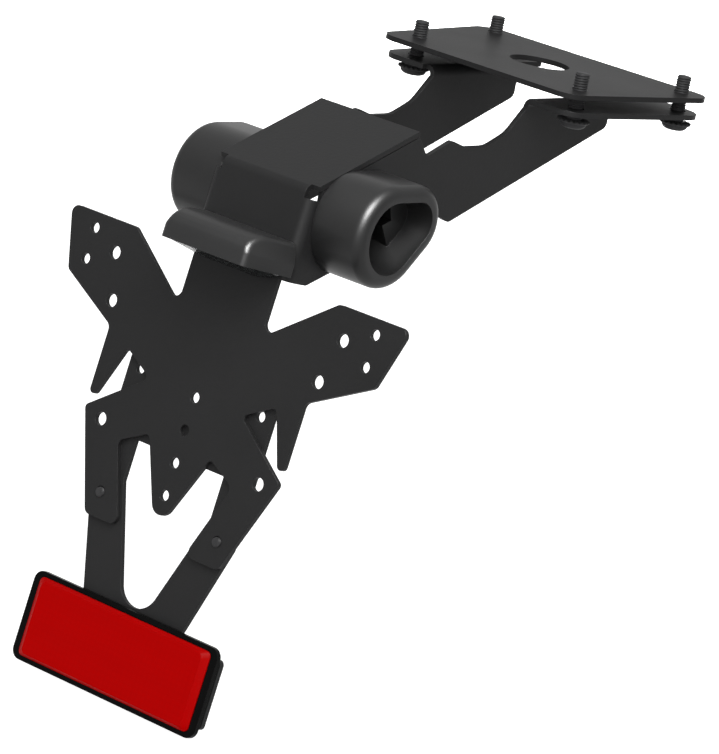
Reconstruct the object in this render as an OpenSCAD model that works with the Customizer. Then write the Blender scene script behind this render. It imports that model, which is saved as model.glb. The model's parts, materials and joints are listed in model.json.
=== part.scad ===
// Tail tidy: a folded sheet bracket that hangs the number plate, the indicators, the plate
// light and the rear reflector under a motorbike's tail. Millimetres. X is right, Y is the
// riding direction and Z is up. The origin is the centre of the cable hole on the top
// plate's top face.

/* [Top plate] */
// Thickness of the top plate
plate_t = 2; // [1.5:0.1:3]
// Width of the top plate at its rear edge
plate_rear_w = 96.6; // [92:0.1:104]
// Width of the top plate at its front edge
plate_front_w = 116.2; // [110:0.1:124]
// Distance of the rear edge behind the origin
plate_rear_y = 41.9; // [40.5:0.1:46]
// Distance of the front edge ahead of the origin
plate_front_y = 40; // [39.5:0.1:46]
// Radius of the plate's corners
plate_corner_r = 8.5; // [4:0.5:10]
// Diameter of the cable hole
cable_hole_d = 24; // [16:0.5:30]

/* [Mounting screws] */
// Thread diameter of the mounting screws
screw_d = 6; // [5:0.1:8]
// Length of a mounting screw under its head
screw_l = 18; // [17:0.1:24]
// Height that the screws stand above the top plate
screw_stand = 6.5; // [4:0.1:8]
// Distance of each screw from the top plate's side edge
screw_margin = 10; // [8:0.1:12]
// Distance of the rear screws behind the origin
screws_rear_y = 26.6; // [24:0.1:28]
// Distance of the front screws ahead of the origin
screws_front_y = 31.7; // [30:0.1:33]
// Diameter of the flange under a screw's head
screw_flange_d = 12.6; // [11:0.1:14]
// Thickness of that flange
screw_flange_t = 1.2; // [0.8:0.1:1.6]
// Height of the button head below its flange
screw_button_h = 2.4; // [1.8:0.1:3]
// Width of a mounting screw's socket across its flats
screw_key = 4; // [3:0.5:4]
// Space between a screw and the hole that it passes through
screw_play = 0.3; // [0.2:0.05:0.6]
// Space between a screw and the thread that it is turned into
thread_play = 0.05; // [0.02:0.01:0.1]
// Diameter of a mounting screw where its thread is held, as a share of the thread's crests
thread_meet = 0.9; // [0.88:0.01:0.92]

/* [Folded bracket] */
// Thickness of the folded sheet
sheet_t = 2; // [1.5:0.1:2.5]
// Inside radius of every fold
fold_r = 2; // [1:0.1:2.5]
// Space between the top plate and the flanges below it
flange_gap = 5.2; // [3:0.1:6]
// Distance over the outsides of the two side arms
arms_w = 49; // [46:0.1:52]
// Distance of the rear top fold behind the origin
fold_y = 155.3; // [152:0.1:159]
// Distance of the rear top fold below the top plate's top face
fold_z = 40; // [38:0.1:42]
// Forward lean of the rear panel from the vertical
panel_lean = 10.2; // [8:0.1:12]
// Rise of the lid from the horizontal
lid_rise = 20.5; // [18:0.1:22]
// Length of the lid from the rear top fold
lid_l = 59; // [56:0.1:62]
// Space between the lid and the arms' top edges
lid_seam = 0.4; // [0.2:0.1:0.8]
// Height of the open corner at each end of the top fold
corner_relief = 4; // [3.5:0.1:5]
// Distance from the rear top fold at which the lid has its full width
lid_relief = 2.8; // [2.6:0.1:5]
// Height of the side folds' lower ends below the rear top fold
side_fold_end = 35.2; // [34:0.1:37]

/* [Flanges] */
// Distance of the flanges' rear edges behind the origin
flange_rear_y = 39; // [38:0.1:40.5]
// Distance of the flanges' front edges ahead of the origin
flange_front_y = 38.5; // [37:0.1:39.5]
// Distance of the flanges' outer edges inside the top plate's edges
flange_inset = 0.9; // [0.5:0.1:1.5]
// Radius of the flanges' outer corners
flange_corner_r = 9; // [4:0.5:10]

/* [Side arms] */
// Distance of the arms' front ends ahead of the origin
arm_front_y = 18.8; // [15:0.1:22]
// Height of the arms' front ends below the origin
arm_front_z = 20.2; // [18:0.1:22]
// Distance of the foot in the lower edge behind the origin
foot_y = 71.5; // [69:0.1:74]
// Distance of the foot below the origin
foot_z = 55.6; // [54:0.1:58]
// Distance of the heel behind the foot
heel_back = 7.7; // [6:0.1:9]
// Distance of the heel above the foot
heel_up = 2.8; // [2:0.1:4]
// Distance of the waist's front end behind the origin
waist_y = 57; // [55:0.1:58]
// Depth of the waist below the origin
waist_z = 26.1; // [25:0.1:27]
// Distance of the bend between waist and flange behind the origin
bend_y = 45.5; // [44:0.1:47]
// Depth of that bend below the origin
bend_z = 21.2; // [20:0.1:22]
// Radius of that bend
bend_r = 12; // [4:0.5:14]
// Distance of the rise to the flange behind the origin
throat_y = 36; // [35:0.1:37]
// Distance of the crest between waist and lid behind the origin
crest_y = 78.8; // [77:0.1:81]
// Depth of that crest below the origin
crest_z = 23.4; // [22:0.1:24]
// Distance from the crest to the rear end of the waist
crest_run = 9; // [7:0.1:11]
// Distance of the notch in front of the lid from the lid's front edge
notch_ahead = 6.5; // [6:0.1:8]
// Depth of that notch below the origin
notch_z = 29.2; // [28:0.1:30]

/* [Number plate hanger] */
// Width of the neck below the side folds
neck_w = 41.4; // [40:0.1:42]
// Height of the wings' top edge below the rear top fold
wing_top = 35.8; // [35.5:0.1:37]
// Width over the wings at their top edge
wing_w = 168.4; // [160:0.1:176]
// Width over the wings' lower corners
wing_low_w = 153.2; // [148:0.1:158]
// Height of the wings' lower corners below the rear top fold
wing_low = 59.8; // [57:0.1:62]
// Width between the wings' inner top corners
wing_gap_w = 101.6; // [96:0.1:106]
// Height of the notches between neck and wings below the rear top fold
neck_notch = 57.5; // [54:0.1:60]
// Width over the outer tines and the lower arms
tine_w = 98; // [94:0.1:102]
// Height where the outer tines leave the wings
tine_top = 74; // [72:0.1:76]
// Height where the sides of an outer tine would meet
tine_point = 107.7; // [106:0.1:110]
// Distance of the slots' upper ends from the middle
slot_top_u = 37.5; // [36:0.1:39]
// Height of the slots' upper ends
slot_top = 79.4; // [78:0.1:81]
// Distance of the slots' inner corners from the middle
slot_in_u = 23.1; // [22:0.1:25]
// Height of the slots' inner corners
slot_in = 87; // [85:0.1:89]
// Height of the lower arms' outer corners
leg_top = 105.3; // [103:0.1:107]
// Height of the lower arms' ends
leg_end = 143.2; // [141:0.1:146]
// Width over the lower arms' ends
leg_end_w = 67.6; // [64:0.1:71]
// Width of a lower arm at its end
leg_w = 16.8; // [14:0.1:18]
// Distance of the lower arms' inner corners from the middle
leg_in_u = 28.9; // [28:0.1:30]
// Height of the lower arms' inner corners
leg_in = 113; // [111:0.1:115]
// Distance of the inner slots' upper ends from the middle
inner_slot_u = 15.4; // [14:0.1:17]
// Height of the inner slots' upper ends
inner_slot = 106.2; // [104:0.1:108]
// Height where the sides of the middle tine would meet
middle_point = 139.6; // [137:0.1:142]
// Radius of the middle tine's end
middle_tip_r = 4.8; // [3:0.1:5]
// Radius of the hanger's outer corners
hanger_r = 3; // [1.5:0.1:3]
// Radius of the slots' ends and the outer tines' ends
slot_r = 1.8; // [1.2:0.1:2]

/* [Hanger holes] */
// Diameter of the small number plate holes
small_hole_d = 4.2; // [3:0.1:4.5]
// Diameter of the large number plate holes
large_hole_d = 5.2; // [4:0.1:6]
// Pitch of the small holes down the middle
middle_pitch = 12.7; // [12:0.1:13]
// Height of the first hole in the middle
middle_first = 87.2; // [86:0.1:88]
// Distance between the small holes of the two wings
small_w = 139.7; // [136:0.1:142]
// Height of the upper small hole in each wing
small_high = 41.6; // [41:0.1:43]
// Height of the lower small hole in each wing
small_low = 53.8; // [53:0.1:55]
// Distance between the upper large holes
large_high_w = 113.8; // [110:0.1:116]
// Height of the upper large holes
large_high = 47.7; // [46:0.1:49]
// Distance between the lower large holes
large_low_w = 103.4; // [100:0.1:106]
// Height of the lower large holes
large_low = 65; // [63:0.1:67]
// Distance between the large holes in the lower arms
large_leg_w = 79.4; // [77:0.1:81]
// Height of the large holes in the lower arms
large_leg = 108; // [106.5:0.1:109]

/* [Indicator bosses] */
// Length of a boss from the arm to its rim
boss_l = 23.3; // [18:0.1:26]
// Radius of the boss's large end
boss_big_r = 19.6; // [18:0.1:20]
// Radius of the boss's small end
boss_small_r = 14.4; // [13:0.1:15]
// Distance of the large end's centre behind the origin
boss_y = 133.7; // [132:0.1:135]
// Distance of the large end's centre below the origin
boss_z = 53; // [52.5:0.1:54]
// Distance of the small end's centre ahead of the large end's
boss_step_y = 12.4; // [11:0.1:14]
// Height of the small end's centre above the large end's
boss_step_z = 5; // [4:0.1:6]
// Radius of the rounded rim
rim_r = 4; // [3:0.1:4.5]
// Width of the rim from the outside to the mouth
rim_w = 5.8; // [5.5:0.1:6.5]
// Depth of the straight mouth
mouth_l = 4.2; // [3:0.1:5]
// Inward slope of the pocket below the mouth, over its depth
pocket_taper = 1.6; // [1:0.1:2]
// Depth of the stem seat below the rim
seat_depth = 10.8; // [9:0.1:12]
// Distance of the seat's edge behind the small end's centre
seat_back = 8; // [7:0.1:9]
// Distance of the seat's edge below the small end's centre
seat_drop = 1; // [0.5:0.1:1.5]
// Lean of the seat's edge from the horizontal
seat_lean = 57.5; // [50:0.5:65]
// Thickness of the boss's base
boss_base_t = 2.5; // [2:0.1:4]
// Side of the square stem socket
socket_w = 8; // [6:0.1:9]
// Depth of the stem socket
socket_l = 5; // [3:0.1:6]
// Distance of the socket's front corner behind the small end's centre
socket_back = 2; // [1.5:0.1:3]
// Distance of that corner below the small end's centre
socket_drop = 1.2; // [1:0.1:2]
// Diameter of the cable hole through boss and arm
boss_cable_d = 9; // [6:0.1:10]
// Distance of that hole behind the large end's centre
boss_cable_back = 5; // [4:0.1:6]
// Distance of the front screw ahead of the small end's centre
front_screw_y = 6.3; // [5.5:0.1:7]
// Distance of the front screw above the small end's centre
front_screw_z = 3.8; // [3:0.1:4.5]
// Distance of the lower screw ahead of the small end's centre
low_screw_y = 1.3; // [0.5:0.1:2]
// Distance of the lower screw below the small end's centre
low_screw_z = 8; // [7.5:0.1:8.5]
// Thread diameter of the screws that hold a boss
boss_screw_d = 5; // [4:0.1:5]
// Length of those screws
boss_screw_l = 10; // [8:0.1:11]
// Width of their sockets across the flats
boss_key = 3; // [2:0.5:3]

/* [Number plate light] */
// Distance that the light stands out from the rear panel
light_out = 22.4; // [20:0.1:26]
// Width of the light at the panel
light_back_w = 51.6; // [50:0.1:54]
// Width of the light at its front
light_front_w = 40.8; // [38:0.1:44]
// Height of the light's top below the rear top fold
light_top = 20.7; // [20:0.1:22]
// Height of the light's lower edge below the rear top fold
light_low = 33.3; // [33:0.1:34]
// Length of the hood's flat top from the panel
light_roof = 11.5; // [10:0.1:13]
// Height of the straight band along the lower edge
light_band = 4.6; // [4:0.1:5]
// Radius of the hood's side edges
light_edge_r = 2.7; // [2.6:0.1:3.2]
// Inward lean of the ends above the band
light_end_lean = 15.4; // [10:0.1:20]
// Wall of the hood
light_wall = 2; // [1.5:0.1:2.1]
// Space between the lens and the hood
lens_play = 0.15; // [0.1:0.05:0.2]
// Height of the lens's rim inside the hood
lens_rim = 1.8; // [1.2:0.1:2]
// Depth of the lens's lowest ridge below the hood's lower edge
lens_drop = 3.5; // [2:0.1:4]
// Width of that ridge
lens_ridge_w = 26; // [20:0.5:30]
// Depth of the lens's shoulders below the hood's lower edge
lens_shoulder_drop = 2.2; // [1:0.1:3]
// Width over the shoulders
lens_shoulder_w = 37.6; // [34:0.1:38]
// Size of ridge and shoulders from back to front
lens_ridge_d = 3; // [2:0.1:5]
// Distance between the light's screws
light_screws = 26; // [22:0.1:28]
// Distance of the light's screws below its top
light_screw_drop = 5.9; // [5.5:0.1:6.2]
// Diameter of the posts that take those screws
light_post_d = 7; // [6:0.1:7]
// Thread diameter of the light's screws
light_screw_d = 4; // [3:0.1:4]
// Length of the light's screws
light_screw_l = 8; // [6:0.1:9]
// Width of the socket of the light's and the bracket's screws across its flats
small_key = 2.5; // [2:0.5:3]
// Diameter of the light's cable hole
light_cable_d = 6; // [4:0.1:7]
// Size of the light board across the hood
board_w = 18; // [14:0.1:18.5]
// Size of the light board from back to front
board_d = 9; // [7:0.1:10]
// Thickness of the light board
board_t = 1.2; // [1:0.1:1.6]
// Distance between the two light emitters
led_pitch = 10; // [6:0.1:13]
// Side of a light emitter
led_w = 3.5; // [3:0.1:5]
// Height of a light emitter
led_h = 1.6; // [1:0.1:2]

/* [Reflector bracket] */
// Height of the bracket's top edge below the rear top fold
link_top = 79.8; // [79:0.1:81]
// Width over the bracket's upper part
link_w = 72.4; // [71:0.1:74]
// Height of the bracket's cross bar between its ears
link_bar = 93.5; // [90:0.1:97]
// Distance of the ears' inner edges from the middle
link_ear_u = 24.4; // [23:0.1:26]
// Sideways run of the slope from an ear down to the bar
link_ear_step = 8; // [2:0.1:12]
// Height where the bracket starts to narrow
link_shoulder = 134.6; // [132:0.1:137]
// Width over the bracket where it meets the reflector plate
link_low_w = 48; // [46:0.1:52]
// Height of the window's top edge
window_top = 110.5; // [109:0.1:112]
// Width of the window at its top
window_w = 44.4; // [43:0.1:46]
// Height where the window starts to narrow
window_shoulder = 126.8; // [124:0.1:129]
// Radius of the bracket's corners
link_r = 2; // [1:0.1:3]
// Radius of the bends where the bracket starts to narrow
link_shoulder_r = 4; // [2:0.1:6]
// Radius of the window's rounded lower end
window_r = 9.4; // [8:0.1:10]
// Height of the window's lowest point
window_end = 169; // [167:0.1:170]
// Distance between the spare holes near the top edge
spare_w = 60.4; // [58:0.1:62]
// Height of the spare holes
spare_z = 84.9; // [84:0.1:87]
// Distance between the screws that join bracket and hanger
link_screws = 59.2; // [56:0.1:60]
// Height of those screws
link_screw_z = 133.4; // [131:0.1:135]
// Thread diameter of those screws
link_screw_d = 4; // [3:0.1:4]
// Length that those screws stand out of the hanger
link_screw_stand = 0.8; // [0.4:0.1:1.5]

/* [Reflector] */
// Width of the reflector
reflector_w = 93.6; // [90:0.1:97]
// Height of the reflector
reflector_h = 35; // [33:0.1:38]
// Height of the reflector's top edge below the rear top fold
reflector_top = 169.7; // [169:0.1:171]
// Thickness of the reflector's base
base_t = 2; // [1.6:0.1:3]
// Radius of the base's corners
base_r = 4; // [3:0.1:5]
// Radius of the pad's corners
pad_r = 1; // [0.5:0.1:3]
// Distance of the pad's edges inside the base's edges
pad_margin = 5; // [3:0.1:8]
// Thickness of the adhesive pad behind the base
pad_t = 1; // [0.8:0.1:1.6]
// Border of the base beside the lens
border_side = 3.1; // [2.5:0.1:4]
// Border of the base above and below the lens
border_top = 1.8; // [1.4:0.1:2.5]
// Depth of the lens's seat in the base
lens_seat = 1; // [0.6:0.1:1.2]
// Height that the red lens stands out of the base
lens_stand = 2; // [1:0.1:3]
// Width of the slope at the lens's ends
lens_slope = 2.6; // [1.5:0.1:3.5]
// Width of the slope above and below
lens_slope_top = 1.3; // [0.8:0.1:2]
// Height of the lens's upright edge above the base
lens_edge = 0.3; // [0.1:0.1:0.6]
// Height of the bracket's plate behind the reflector
backing_h = 27; // [24:0.1:30]

/* [Hidden] */
$fn = 48;

// Width of a cut that has to pass clean through a face
cut = 1;
// Degrees between the points of a rounded corner
arc_step = 15;
// Sides of a circle inside a rounded shell
shell_fn = 28;
// Steps of the top fold
top_steps = 12;
// Steps of a rounded rim
rim_steps = 6;
// Steps round the large and the small end of a boss
big_steps = 36;
small_steps = 20;

// Folds
out_r = fold_r + sheet_t;
top_turn = 90 - panel_lean - lid_rise;
top_tangent = out_r * tan(top_turn / 2);
arm_x = arms_w / 2;
panel_half = arm_x - out_r;
flange_z = plate_t + flange_gap;
flange_fold_x = arm_x + fold_r;
arm_tab = 6;
tab_lap = 2;
arm_tail = 7.2;
arm_tail_drop = 0.3;

// Half width of the top plate at a distance ahead of the origin
side_slope = (plate_front_w - plate_rear_w) / 2 / (plate_front_y + plate_rear_y);
function plate_half(y) = plate_rear_w / 2 + side_slope * (y + plate_rear_y);

// Mounting screws: the shank is drawn in up to just above the plate, and is whole where it
// stands free
screw_spots = [for (y = [-screws_rear_y, screws_front_y], side = [-1, 1])
    [side * (plate_half(y) - screw_margin), y]];
free_gap = 0.2;

// Shares of a button head's width and height at the points of its curve
head_w_share = 1.9;
head_h_share = 0.55;
crown_share = 0.28;
shoulder_share = 0.42;
shoulder_h_share = 0.72;
rim_h_share = 0.3;
socket_share = 0.6;
flange_head_share = 0.84;
screw_room = 1;

// Boss
big_c = [-boss_y, -boss_z];
small_c = big_c + [boss_step_y, boss_step_z];
seat_l = boss_l - seat_depth;
boss_spots = [small_c + [front_screw_y, front_screw_z], small_c + [low_screw_y, -low_screw_z]];
cable_spot = big_c - [boss_cable_back, 0];
socket_spot = small_c - [socket_back, socket_drop];
seat_edge = small_c - [seat_back, seat_drop];
seat_span = 2 * boss_big_r;

// Light, in the panel's own coordinates: across, below the fold and outwards
back_half = light_back_w / 2;
front_half = light_front_w / 2;
end_slope = (back_half - front_half) / light_out;
crease = light_low - light_band;
core_top = light_top + light_edge_r;
core_low = light_low + light_edge_r;
core_out = light_out - light_edge_r;
end_lean = tan(light_end_lean);
light_screw_w = light_top + light_screw_drop;
board_front = light_roof + 1;
board_low = light_top + light_wall + lens_play + board_t;
brow_step = 15;

// Reflector
backing_top = reflector_top + (reflector_h - backing_h) / 2;
window_angle = asin((window_w / 2 - window_r) / (window_end - window_r - window_shoulder));

// Unit vector from a to b
function unit(a, b) = (b - a) / norm(b - a);

// Points of the arc that rounds corner b, between neighbours a and c
function rounded(a, b, c, r) =
    let (u = unit(b, a), v = unit(b, c), half = acos(u * v) / 2)
    let (m = b + (u + v) / norm(u + v) * r / sin(half))
    let (p = b + u * r / tan(half) - m, q = b + v * r / tan(half) - m)
    let (start = atan2(p.y, p.x), turn = atan2(q.y, q.x) - start)
    let (sweep = turn > 180 ? turn - 360 : turn < -180 ? turn + 360 : turn)
    let (n = max(2, ceil(abs(sweep) / arc_step)))
    [for (i = [0:n]) m + r * [cos(start + sweep * i / n), sin(start + sweep * i / n)]];

// Outline through corners [x, y, radius], where radius 0 keeps a corner sharp
function outline(p) =
    let (n = len(p))
    [for (i = [0:n - 1])
        let (a = p[(i + n - 1) % n], b = p[i], c = p[(i + 1) % n])
        each (b.z == 0 ? [[b.x, b.y]] :
            rounded([a.x, a.y], [b.x, b.y], [c.x, c.y], b.z))];

// Corners of a right half, closed by their mirror images
function both_sides(half) =
    concat(half, [for (i = [len(half) - 1:-1:0])
        if (half[i].x != 0) [-half[i].x, half[i].y, half[i].z]]);

// Point at a height below the rear top fold and a distance ahead of the panel's outer face
function ahead(w, f) =
    [-fold_y - sin(panel_lean) * w + cos(panel_lean) * f,
     -fold_z - cos(panel_lean) * w - sin(panel_lean) * f];

// Point below the lid at a distance from the rear top fold and a depth
function under_lid(s, depth) =
    [-fold_y + cos(lid_rise) * s + sin(lid_rise) * depth,
     -fold_z + sin(lid_rise) * s - cos(lid_rise) * depth];

function point3(p, r) = [p.x, p.y, r];

// Places children on the rear panel's outer face: X across, Y up the panel, Z outwards
module on_panel() {
    translate([0, -fold_y, -fold_z]) rotate([90 - panel_lean, 0, 0]) children();
}

// Extrudes a Y-Z outline along X from x0
module along_x(x0, l) {
    translate([x0, 0, 0]) rotate([90, 0, 90]) linear_extrude(l) children();
}

// A fold: a sector of the bent sheet about Z, from +X, over an angle
module fold(angle, l) {
    rotate_extrude(angle = angle) translate([fold_r, 0]) square([sheet_t, l]);
}

// A straight hole along Z through a sheet whose outer face is at z 0
module sheet_hole(x, y, d) {
    translate([x, y, -sheet_t - cut]) cylinder(d = d, h = sheet_t + 2 * cut);
}

// Outline of the top plate, drawn inwards by an inset
module plate_outline(inset, rear_y, front_y, r) {
    polygon(outline(both_sides([
        [plate_half(front_y) - inset, front_y, r],
        [plate_half(-rear_y) - inset, -rear_y, r]
    ])));
}

// A socket button screw along +Z, with its head below z 0 and its shank above, drawn in over
// the length that a thread grips
module button_screw(d, l, head_d, head_h, key, grip = 0) {
    chamfer = d / 10;
    held = d * thread_meet / 2;
    difference() {
        rotate_extrude() polygon(concat(
            [[0, -head_h], [head_d * crown_share, -head_h],
             [head_d * shoulder_share, -head_h * shoulder_h_share],
             [head_d / 2, -head_h * rim_h_share], [head_d / 2, 0]],
            grip > 0 ? [[held, 0], [held, grip], [d / 2, grip]] : [[d / 2, 0]],
            [[d / 2, l - chamfer], [d / 2 - chamfer, l], [0, l]]));
        translate([0, 0, -head_h - cut])
            cylinder(d = key / cos(30), h = head_h * socket_share + cut, $fn = 6);
    }
}

// A plain button screw, its head sized by its thread
module plain_screw(d, l, key) {
    button_screw(d, l, d * head_w_share, d * head_h_share, key);
}

// A mounting screw: a button head with a flange, head down
module mount_screw(spot) {
    head = -(screw_l - screw_stand);
    color([0.10, 0.10, 0.11]) translate([spot.x, spot.y, head]) {
        button_screw(screw_d, screw_l, screw_flange_d * flange_head_share,
            screw_button_h + screw_flange_t, screw_key, free_gap - head);
        difference() {
            translate([0, 0, -screw_flange_t]) cylinder(d = screw_flange_d, h = screw_flange_t);
            translate([0, 0, -screw_flange_t - cut]) cylinder(d = screw_d, h = screw_flange_t);
        }
    }
}

module top_plate() {
    color([0.30, 0.30, 0.31]) difference() {
        translate([0, 0, -plate_t]) linear_extrude(plate_t)
            plate_outline(0, plate_rear_y, plate_front_y, plate_corner_r);
        translate([0, 0, -plate_t - cut]) cylinder(d = cable_hole_d, h = plate_t + 2 * cut);
        for (s = screw_spots)
            translate([s.x, s.y, -plate_t - cut])
                cylinder(d = screw_d + 2 * thread_play, h = plate_t + 2 * cut);
    }
}

// Outline of the hanger, in the panel's coordinates
module hanger_outline() {
    leg_out = leg_end_w / 2;
    polygon(outline(both_sides([
        [panel_half, -corner_relief, 0],
        [panel_half, -side_fold_end, 0],
        [neck_w / 2, -side_fold_end, 0],
        [neck_w / 2, -neck_notch, hanger_r],
        [wing_gap_w / 2, -wing_top, hanger_r],
        [wing_w / 2, -wing_top, hanger_r],
        [wing_low_w / 2, -wing_low, hanger_r],
        [tine_w / 2, -tine_top, hanger_r],
        [tine_w / 2, -tine_point, slot_r],
        [slot_top_u, -slot_top, slot_r],
        [slot_in_u, -slot_in, slot_r],
        [tine_w / 2, -leg_top, slot_r],
        [leg_out, -leg_end, hanger_r],
        [leg_out - leg_w, -leg_end, hanger_r],
        [leg_in_u, -leg_in, hanger_r],
        [inner_slot_u, -inner_slot, slot_r],
        [0, -middle_point, middle_tip_r]
    ])));
}

// Centres and diameters of the hanger's holes, right half and middle
hanger_holes = concat(
    [for (i = [0:3]) [0, middle_first + i * middle_pitch, small_hole_d]],
    [[small_w / 2, small_high, small_hole_d], [small_w / 2, small_low, small_hole_d],
     [large_high_w / 2, large_high, large_hole_d], [large_low_w / 2, large_low, large_hole_d],
     [large_leg_w / 2, large_leg, large_hole_d],
     [link_screws / 2, link_screw_z, link_screw_d + 2 * thread_play],
     [light_screws / 2, light_screw_w, light_screw_d + 2 * screw_play]]);

// The rear panel with the number plate hanger below it, one flat stretch of the sheet
module panel_sheet() {
    on_panel() difference() {
        translate([0, 0, -sheet_t]) linear_extrude(sheet_t) hanger_outline();
        for (h = hanger_holes) {
            sheet_hole(h.x, -h.y, h.z);
            if (h.x > 0) sheet_hole(-h.x, -h.y, h.z);
        }
        sheet_hole(0, -light_screw_w, light_cable_d);
    }
}

// Point of the lid in the panel's own Y and Z, at a distance from the fold and a depth
function lid_at(s, depth) =
    [s * cos(top_turn) - depth * sin(top_turn), -s * sin(top_turn) - depth * cos(top_turn)];

// Points of the top fold's arc in the panel's own Y and Z, from the panel to the lid
function top_arc(r) =
    [for (i = [0:top_steps]) let (a = top_turn * i / top_steps)
        [r * sin(a) - top_tangent, r * cos(a) - out_r]];

// The narrow strip of sheet over the top fold, and the lid
module lid_sheet() {
    arc_in = top_arc(fold_r);
    on_panel() {
        along_x(-panel_half, 2 * panel_half) polygon(concat(
            [[-corner_relief, -sheet_t], [-corner_relief, 0]], top_arc(out_r),
            [lid_at(lid_relief, 0), lid_at(lid_relief, sheet_t)],
            [for (i = [top_steps:-1:0]) arc_in[i]]));
        along_x(-arm_x, arms_w) polygon([lid_at(lid_relief, 0), lid_at(lid_l, 0),
            lid_at(lid_l, sheet_t), lid_at(lid_relief, sheet_t)]);
    }
}

// Outline of a side arm in Y and Z
module arm_outline() {
    lid_gap = sheet_t + lid_seam;
    lid_front = under_lid(lid_l, lid_gap);
    fold_low = -flange_z - out_r;
    polygon(outline([
        point3(ahead(side_fold_end - tab_lap, out_r + tab_lap), 0),
        point3(ahead(corner_relief + tab_lap, out_r + tab_lap), 0),
        point3(under_lid(top_tangent + tab_lap, lid_gap), 0),
        point3(lid_front, 0),
        [lid_front.x + notch_ahead, -notch_z, hanger_r],
        [-crest_y, -crest_z, hanger_r],
        [-crest_y + crest_run, -waist_z, hanger_r],
        [-waist_y, -waist_z, bend_r],
        [-bend_y, -bend_z, bend_r],
        [-throat_y, fold_low, 0],
        [arm_front_y, fold_low, 0],
        [arm_front_y, -arm_front_z, hanger_r],
        [-foot_y, -foot_z, hanger_r],
        [-foot_y - heel_back, -foot_z + heel_up, hanger_r],
        point3(ahead(side_fold_end + arm_tail_drop, out_r + arm_tail), hanger_r)
    ]));
}

// The flange at the top of the right arm, with its fold
module flange_sheet() {
    translate([flange_fold_x, -throat_y, -flange_z - out_r]) rotate([-90, 0, 0]) mirror([0, 1, 0])
        rotate(90) fold(90, throat_y + arm_front_y);
    translate([0, 0, -flange_z - sheet_t]) linear_extrude(sheet_t) intersection() {
        plate_outline(flange_inset, flange_rear_y, flange_front_y, flange_corner_r);
        translate([flange_fold_x, -plate_rear_y]) square(plate_front_w);
    }
}

// The right arm with its fold to the panel and its flange
module right_arm() {
    on_panel() {
        translate([panel_half, -corner_relief, -out_r]) rotate([90, 0, 0])
            fold(90, side_fold_end - corner_relief);
        translate([arm_x - sheet_t, -side_fold_end, -out_r - arm_tab])
            cube([sheet_t, side_fold_end - corner_relief, arm_tab]);
    }
    along_x(arm_x - sheet_t, sheet_t) arm_outline();
    flange_sheet();
}

// Cuts through the right arm and flange
module right_arm_holes() {
    for (i = [1, 3])
        translate([screw_spots[i].x, screw_spots[i].y, -flange_z - sheet_t - cut])
            cylinder(d = screw_d + 2 * screw_play, h = sheet_t + 2 * cut);
    for (s = boss_spots)
        along_x(arm_x - sheet_t - cut, sheet_t + 2 * cut)
            translate(s) circle(d = boss_screw_d + 2 * screw_play);
    along_x(arm_x - sheet_t - cut, sheet_t + 2 * cut) translate(cable_spot) circle(d = boss_cable_d);
}

module main_bracket() {
    color([0.16, 0.16, 0.17]) difference() {
        union() {
            panel_sheet();
            lid_sheet();
            right_arm();
            mirror([1, 0, 0]) right_arm();
        }
        right_arm_holes();
        mirror([1, 0, 0]) right_arm_holes();
    }
}

// Ring of points round the boss's outline at a distance from the arm, drawn inwards by an
// inset: an arc about the large centre, then one about the small centre
function boss_ring(x, inset) =
    let (way = small_c - big_c, mid = atan2(way.y, way.x))
    let (open = acos((boss_big_r - boss_small_r) / norm(way)))
    concat(
        [for (i = [0:big_steps]) let (a = mid + open + (360 - 2 * open) * i / big_steps)
            [arm_x + x, each (big_c + (boss_big_r - inset) * [cos(a), sin(a)])]],
        [for (i = [0:small_steps]) let (a = mid - open + 2 * open * i / small_steps)
            [arm_x + x, each (small_c + (boss_small_r - inset) * [cos(a), sin(a)])]]);

// Solid through rings of points that follow each other along X
module loft(rings) {
    n = len(rings[0]);
    last = len(rings) - 1;
    polyhedron(
        points = [for (r = rings) each r],
        faces = concat(
            [[for (i = [0:n - 1]) i]],
            [for (k = [0:last - 1], i = [0:n - 1])
                let (j = (i + 1) % n)
                each [[k * n + i, (k + 1) * n + i, (k + 1) * n + j], [k * n + i, (k + 1) * n + j, k * n + j]]],
            [[for (i = [n - 1:-1:0]) last * n + i]]));
}

// Outside of the boss, with its rounded rim
module boss_body() {
    loft(concat([boss_ring(0, 0)],
        [for (i = [0:rim_steps]) let (a = 90 * i / rim_steps)
            boss_ring(boss_l - rim_r * (1 - sin(a)), rim_r * (1 - cos(a)))]));
}

// Inset of the hollow's wall at a depth below the rim
function wall_inset(depth) =
    rim_w + pocket_taper * max(0, depth - mouth_l) / (seat_depth - mouth_l);

// The hollow of the boss: straight at the mouth and tapered below it
module boss_hollow() {
    depth = boss_l - boss_base_t;
    loft([
        boss_ring(boss_l - depth, wall_inset(depth)),
        boss_ring(boss_l - mouth_l, rim_w),
        boss_ring(boss_l + cut, rim_w)
    ]);
}

// The raised seat for the indicator's stem, in the front half of the hollow
module stem_seat() {
    along_x(arm_x, seat_l) translate(seat_edge) rotate(-seat_lean)
        translate([-seat_span, 0]) square([2 * seat_span, seat_span]);
}

module indicator_boss_right() {
    color([0.20, 0.20, 0.21]) difference() {
        boss_body();
        difference() {
            boss_hollow();
            stem_seat();
        }
        along_x(arm_x + seat_l - socket_l, socket_l + cut) translate(socket_spot) rotate(lid_rise)
            translate([-socket_w, 0]) square(socket_w);
        for (s = boss_spots)
            along_x(arm_x - cut, boss_screw_l - sheet_t + screw_room + cut)
                translate(s) circle(d = boss_screw_d + 2 * thread_play);
        along_x(arm_x - cut, boss_base_t + 2 * cut) translate(cable_spot) circle(d = boss_cable_d);
    }
}

module indicator_boss_left() {
    mirror([1, 0, 0]) indicator_boss_right();
}

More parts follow.
